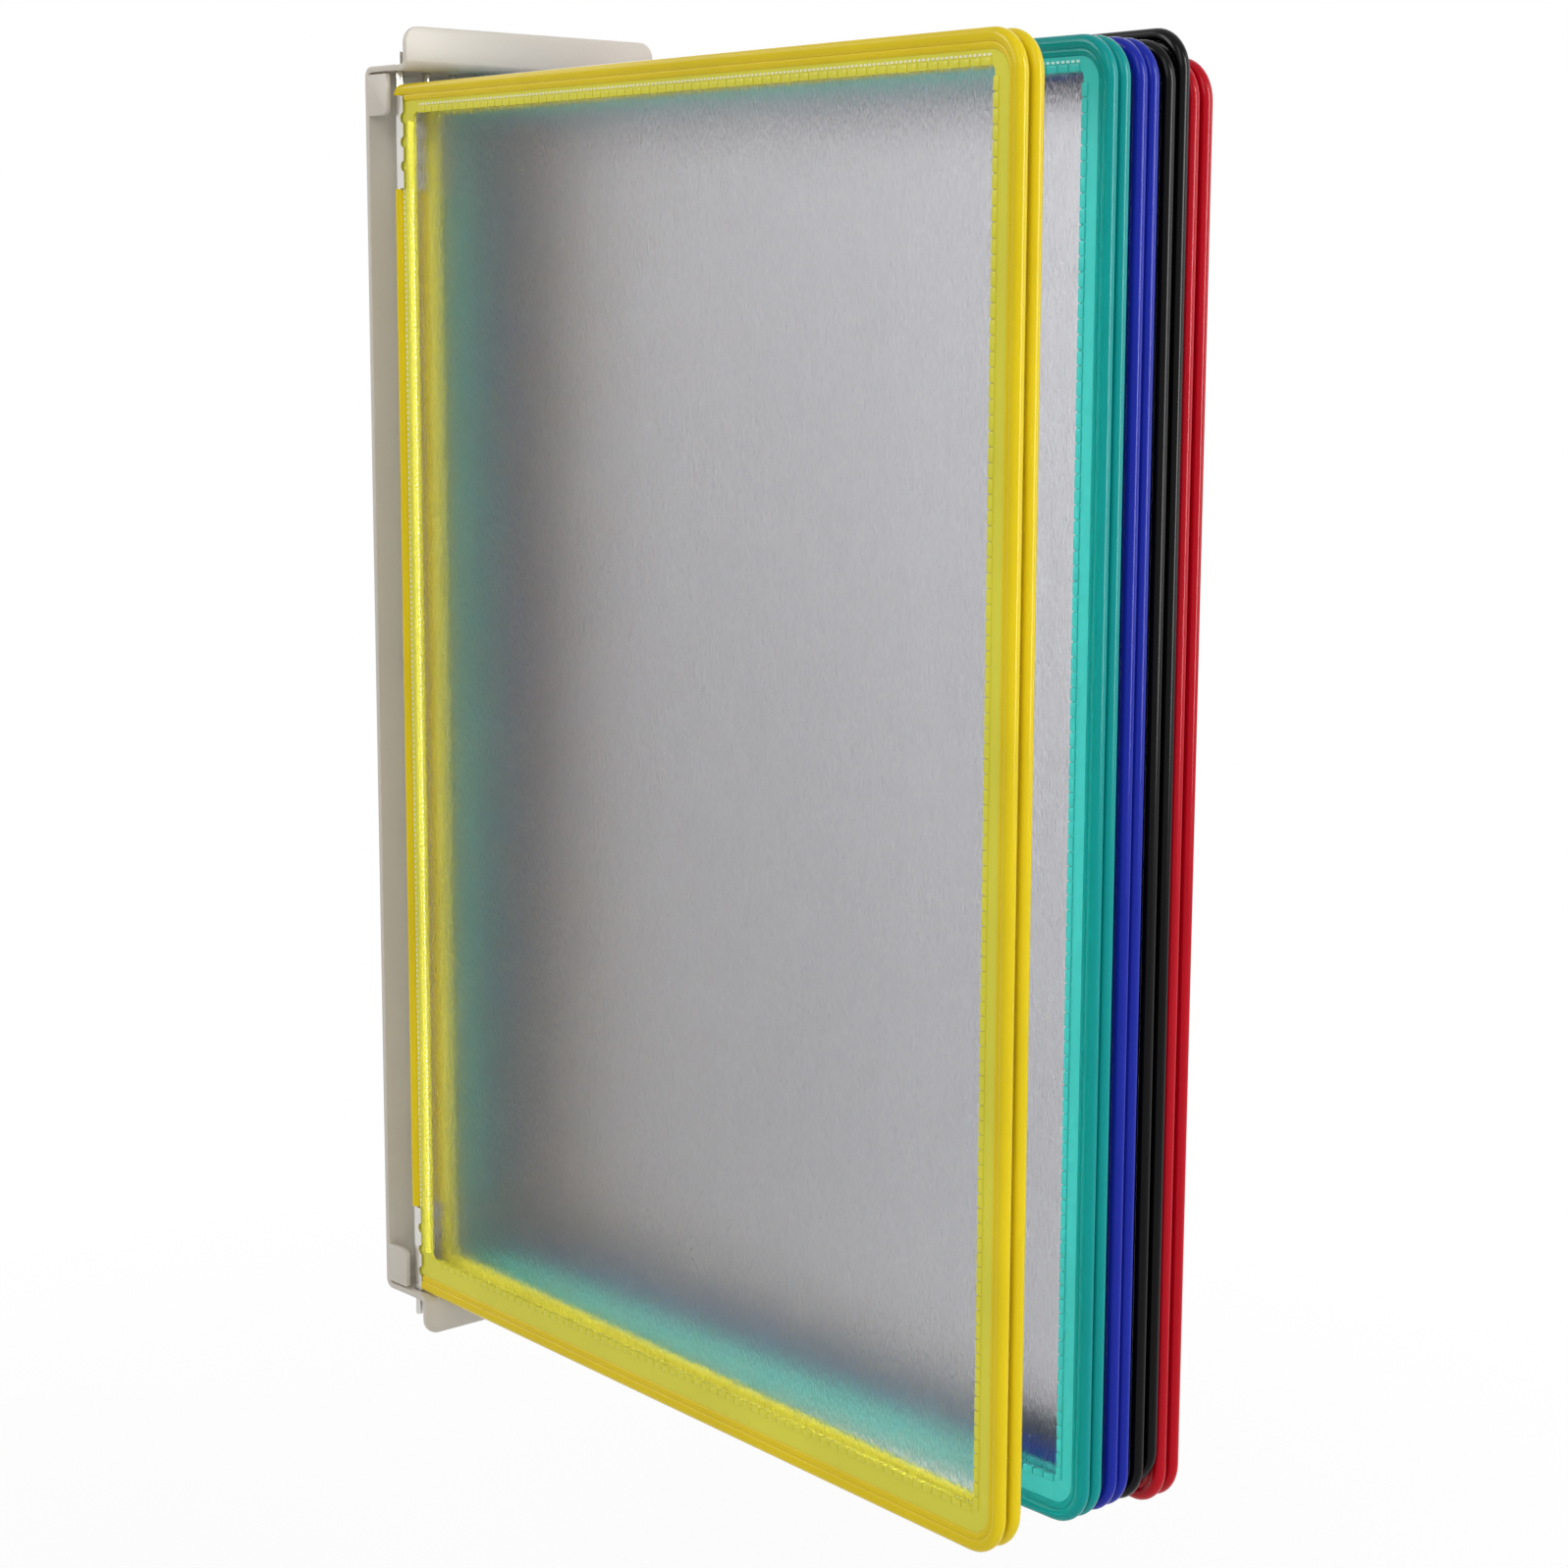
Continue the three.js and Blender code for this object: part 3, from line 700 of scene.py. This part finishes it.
def film_mesh(leaf, side, shift):
    """One sheet, slack in its window, with its hinge side lying loose over the band."""
    (left, low), (right, high) = window(leaf, FILM_LAP)
    start = left + FILM_LAP - MOUTH_LAP
    width = right - start
    height = high - low
    bm = bmesh.new()
    upright = Matrix.Rotation(quarter, 4, "X")
    bmesh.ops.create_grid(bm, x_segments=FILM_COLUMNS, y_segments=FILM_ROWS, size=0.5, matrix=upright)
    for v in bm.verts:
        across = v.co.x + 0.5
        along = v.co.z + 0.5
        x = width * across ** FILM_CROWDING
        z = height * along
        held = math.sin(math.pi * along) * math.sin(math.pi * across ** 0.7)
        ripple = math.sin(9 * along + 3 * shift) * math.cos(7 * across + shift)
        ends = math.exp(-z / MOUTH_END) + math.exp(-(height - z) / MOUTH_END)
        wave = MOUTH_WAVE * ends * (1 + math.sin(z / MOUTH_RIPPLE + 2 * shift)) / 2
        open_mouth = 1 - smooth(x / MOUTH_WIDTH)
        tucked = smooth(z / MOUTH_TUCK) * smooth((height - z) / MOUTH_TUCK)
        lift = (MOUTH_LIFT + wave) * open_mouth * tucked
        v.co = (start + x, side * lift + FILM_SLACK * held * ripple, low + z)
    bmesh.ops.recalc_face_normals(bm, faces=bm.faces)
    bm.normal_update()
    bm.faces.ensure_lookup_table()
    if bm.faces[len(bm.faces) // 2].normal.y * side < 0:
        bmesh.ops.reverse_faces(bm, faces=bm.faces)
    return bm


def sheet_piece(bm, side, name, paint, body, slot, *nodes):
    """A single sheet, whose faces keep their side. The first pocket of a pair lets the light in."""
    mesh = bpy.data.meshes.new(name)
    bm.to_mesh(mesh)
    bm.free()
    mesh.shade_smooth()
    mesh.materials.append(paint.material)
    made = bpy.data.objects.new(name, mesh)
    made.visible_shadow = side > 0
    bpy.context.collection.objects.link(made)
    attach(made, body)
    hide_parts(*nodes)


for i, leaf in enumerate(leaves):
    side = 1 if i % 2 else -1
    sheet = leaf.place(film_mesh(leaf, side, i))
    sheet_piece(sheet, side, leaf.name + "_film", film, leaf.name, "clear_film", leaf.name + "_sleeve")


# Floor and light: a pale studio floor well below the holder, which hangs by its magnets, and soft
# lamps at a plain level. The background is white for the camera, the gloss and the film.
FLOOR_DROP = 0.12
FLOOR_SIZE = 12.0
FLOOR_WHITE = 0.8
FLOOR_FADE = 0.35
AMBIENT = 0.47
SEES_WHITE = ("Is Camera Ray", "Is Glossy Ray", "Is Transmission Ray")


def shown_white(nodes):
    """One for the rays that see the white background."""
    camera_ray, gloss_ray, film_ray = (nodes.node("ShaderNodeLightPath", output=ray) for ray in SEES_WHITE)
    return camera_ray.maths("MAXIMUM", gloss_ray).maths("MAXIMUM", film_ray)


floor_paint = Paint("studio_floor", Roughness=0.9)
where = floor_paint.place()
tone = floor_paint.blend(floor_paint.noise(where, 3, 2), (0.86, 0.86, 0.86, 1), (0.90, 0.90, 0.90, 1))
floor_paint.feed("Base Color", tone)
away = floor_paint.node("ShaderNodeVectorMath", {"operation": "LENGTH"}, {0: where}, output=1)
bright = (FLOOR_WHITE + away * FLOOR_FADE).clamp()
white = floor_paint.node("ShaderNodeEmission", {}, {"Color": (1, 1, 1, 1), "Strength": 1.0})
matt = Signal(floor_paint, floor_paint.shader.outputs[0])
mixed = floor_paint.node("ShaderNodeMixShader", {}, {0: shown_white(floor_paint) * bright, 1: matt, 2: white})
floor_paint.tree.links.new(mixed.socket, floor_paint.tree.nodes["Material Output"].inputs[0])

bm = bmesh.new()
bmesh.ops.create_grid(bm, x_segments=1, y_segments=1, size=FLOOR_SIZE / 2,
                      matrix=Matrix.Translation((0, 0, cad_box[0][2] - FLOOR_DROP)))
floor_mesh = bpy.data.meshes.new("floor")
bm.to_mesh(floor_mesh)
bm.free()
floor_mesh.materials.append(floor_paint.material)
floor = bpy.data.objects.new("floor", floor_mesh)
bpy.context.collection.objects.link(floor)

world = bpy.data.worlds.new("studio")
bpy.context.scene.world = world
world.use_nodes = True
sky = NodeTree(world.node_tree)
background = sky.tree.nodes["Background"]
background.inputs["Color"].default_value = (1, 1, 1, 1)
strength = AMBIENT + (1 - AMBIENT) * shown_white(sky)
sky.tree.links.new(strength.socket, background.inputs["Strength"])


def lamp(name, place, aim, width, height, watts, gloss_only=False):
    """A soft lamp. One that is for gloss only shows in reflections and through the film."""
    data = bpy.data.lights.new(name, "AREA")
    data.shape = "RECTANGLE"
    data.size = width
    data.size_y = height
    data.energy = watts
    made = bpy.data.objects.new(name, data)
    made.location = place
    made.rotation_euler = (Vector(aim) - Vector(place)).to_track_quat("-Z", "Y").to_euler()
    made.visible_diffuse = not gloss_only
    made.visible_camera = False
    bpy.context.collection.objects.link(made)


lamp("key_softbox", (-1.6, -1.2, 1.5), (0, -0.1, 0), 1.0, 1.6, 16)
lamp("right_softbox", (1.7, -1.3, 0.6), (0, -0.2, 0), 1.0, 1.6, 10)
lamp("front_fill", (0.3, -2.0, 0.9), (0, -0.1, 0), 0.8, 1.6, 13)
lamp("back_fill", (-0.6, 1.8, 1.2), (0, -0.1, 0), 1.4, 1.0, 8)
lamp("bead_strip", (0.6, -2.0, 0.4), (0, -0.2, 0), 0.6, 1.8, 60, gloss_only=True)
lamp("film_sheen", (-1.8, 1.1, 1.0), (0, -0.1, 0), 0.8, 1.2, 25, gloss_only=True)
lamp("film_backlight", (1.5, 2.0, 0.1), (0, -0.1, 0), 2.6, 2.4, 14, gloss_only=True)

bpy.context.scene.view_settings.view_transform = "Standard"
